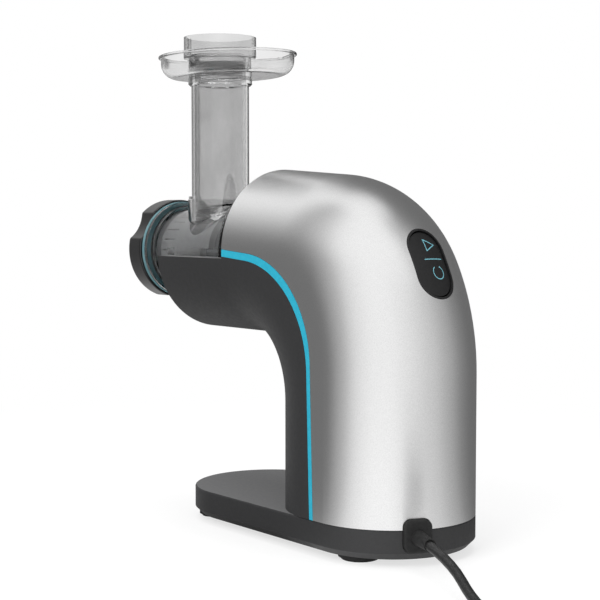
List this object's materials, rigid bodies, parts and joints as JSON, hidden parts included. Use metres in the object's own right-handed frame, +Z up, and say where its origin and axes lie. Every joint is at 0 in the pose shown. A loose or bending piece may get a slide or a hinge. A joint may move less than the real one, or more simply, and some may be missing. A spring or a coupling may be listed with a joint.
{
  "type": "cold press juicer",
  "caption": "Arched countertop cold press juicer with a clear horizontal drum, feed chute with oval hopper and pusher, lobed front cap, rear rocker key and mains lead.",
  "frame": {"origin": "centre of the machine's outline at table level, without the mains lead", "axes": "+Z up, -Y towards the drum's front cap, +X to the side on which the mains lead leaves"},
  "size_m": [0.2029, 0.6576, 0.4],
  "materials": {
    "satin_silver": "satin metallic coat on moulded plastic",
    "charcoal_plastic": "fine matt texture",
    "black_plastic": "matt",
    "cyan_trim": "semi-gloss",
    "black_rubber": "soft matt",
    "bronze": "sintered",
    "gear_plastic": "moulded",
    "steel": "turned",
    "copper": "enamelled windings",
    "board": "coated circuit board",
    "cord_jacket": "satin PVC",
    "key_black": "satin black with printed icons",
    "clear_plastic": "polished clear plastic",
    "gloss_black": "high gloss",
    "strainer_grey": "fine mesh",
    "auger_grey": "satin",
    "teal_silicone": "translucent silicone"
  },
  "bodies": {
    "housing": {"base_housing": "charcoal_plastic", "base_cover": "black_plastic", "base_screws": "steel", "rear_shell": "satin_silver", "front_shell": "charcoal_plastic", "accent_strip_left": "cyan_trim", "accent_strip_right": "cyan_trim", "front_bulkhead": "charcoal_plastic", "output_seal": "black_rubber", "output_bushes": "bronze", "gearbox_housing": "gear_plastic", "gearbox_cover": "gear_plastic", "gearbox_screws": "steel", "reduction_axle": "steel", "motor_can": "steel", "motor_end_plate": "steel", "motor_bushes": "bronze", "motor_stator": "steel", "field_coils": "copper", "motor_stand": "black_plastic", "motor_pad": "black_rubber", "key_bezel": "black_plastic", "key_pin": "steel", "switch_body": "black_plastic", "control_board": "board", "cord_gland": "black_rubber", "foot_front_left": "black_rubber", "foot_front_right": "black_rubber", "foot_rear_left": "black_rubber", "foot_rear_right": "black_rubber", "mains_cord": "cord_jacket", "cord_coil": "cord_jacket", "coil_tie": "black_rubber", "mains_plug": "cord_jacket", "plug_blades": "steel"},
    "key": {"rocker_key": "key_black"},
    "rotor": {"motor_rotor": "steel", "commutator": "copper", "motor_pinion": "steel", "cooling_fan": "gear_plastic"},
    "reduction": {"reduction_gear": "gear_plastic"},
    "output": {"output_gear": "steel", "output_shaft": "steel"},
    "drum": {"drum": "clear_plastic", "drum_lock_ring": "gloss_black", "spout_sleeve": "black_rubber", "strainer": "strainer_grey"},
    "auger": {"auger": "auger_grey"},
    "cap": {"front_cap": "gloss_black", "cap_gasket": "teal_silicone"},
    "chute": {"feed_chute": "clear_plastic"},
    "hopper": {"hopper_tray": "clear_plastic"},
    "pusher": {"pusher": "clear_plastic"}
  },
  "joints": [
    {"name": "key_rock", "type": "hinge", "parent": "housing", "child": "key", "pos_m": [0, 0.14741, 0.21031], "axis": [1, 0, 0], "range_deg": [-4, 4], "stiffness_Nm_per_rad": 0.6},
    {"name": "motor_spin", "type": "hinge", "parent": "housing", "child": "rotor", "pos_m": [0, 0.05, 0.159], "axis": [0, 1, 0], "continuous": true},
    {"name": "reduction_spin", "type": "hinge", "parent": "housing", "child": "reduction", "pos_m": [0, 0.03, 0.189], "axis": [0, 1, 0], "continuous": true},
    {"name": "output_spin", "type": "hinge", "parent": "housing", "child": "output", "pos_m": [0, 0, 0.219], "axis": [0, 1, 0], "continuous": true},
    {"name": "drum_slide", "type": "slide", "parent": "housing", "child": "drum", "axis": [0, -1, 0], "range_m": [0, 0.15]},
    {"name": "auger_spin", "type": "hinge", "parent": "drum", "child": "auger", "pos_m": [0, -0.1, 0.219], "axis": [0, 1, 0], "continuous": true},
    {"name": "cap_turn", "type": "hinge", "parent": "drum", "child": "cap", "pos_m": [0, -0.16, 0.219], "axis": [0, 1, 0], "range_deg": [-45, 0]},
    {"name": "chute_lift", "type": "slide", "parent": "drum", "child": "chute", "axis": [0, 0, 1], "range_m": [0, 0.04]},
    {"name": "hopper_lift", "type": "slide", "parent": "chute", "child": "hopper", "axis": [0, 0, 1], "range_m": [0, 0.03]},
    {"name": "pusher_lift", "type": "slide", "parent": "hopper", "child": "pusher", "axis": [0, 0, 1], "range_m": [0, 0.14]}
  ],
  "couplings": [
    {"joint": "reduction_spin", "follows": "motor_spin", "ratio": -0.25},
    {"joint": "output_spin", "follows": "motor_spin", "ratio": 0.083333},
    {"joint": "auger_spin", "follows": "motor_spin", "ratio": 0.083333}
  ]
}
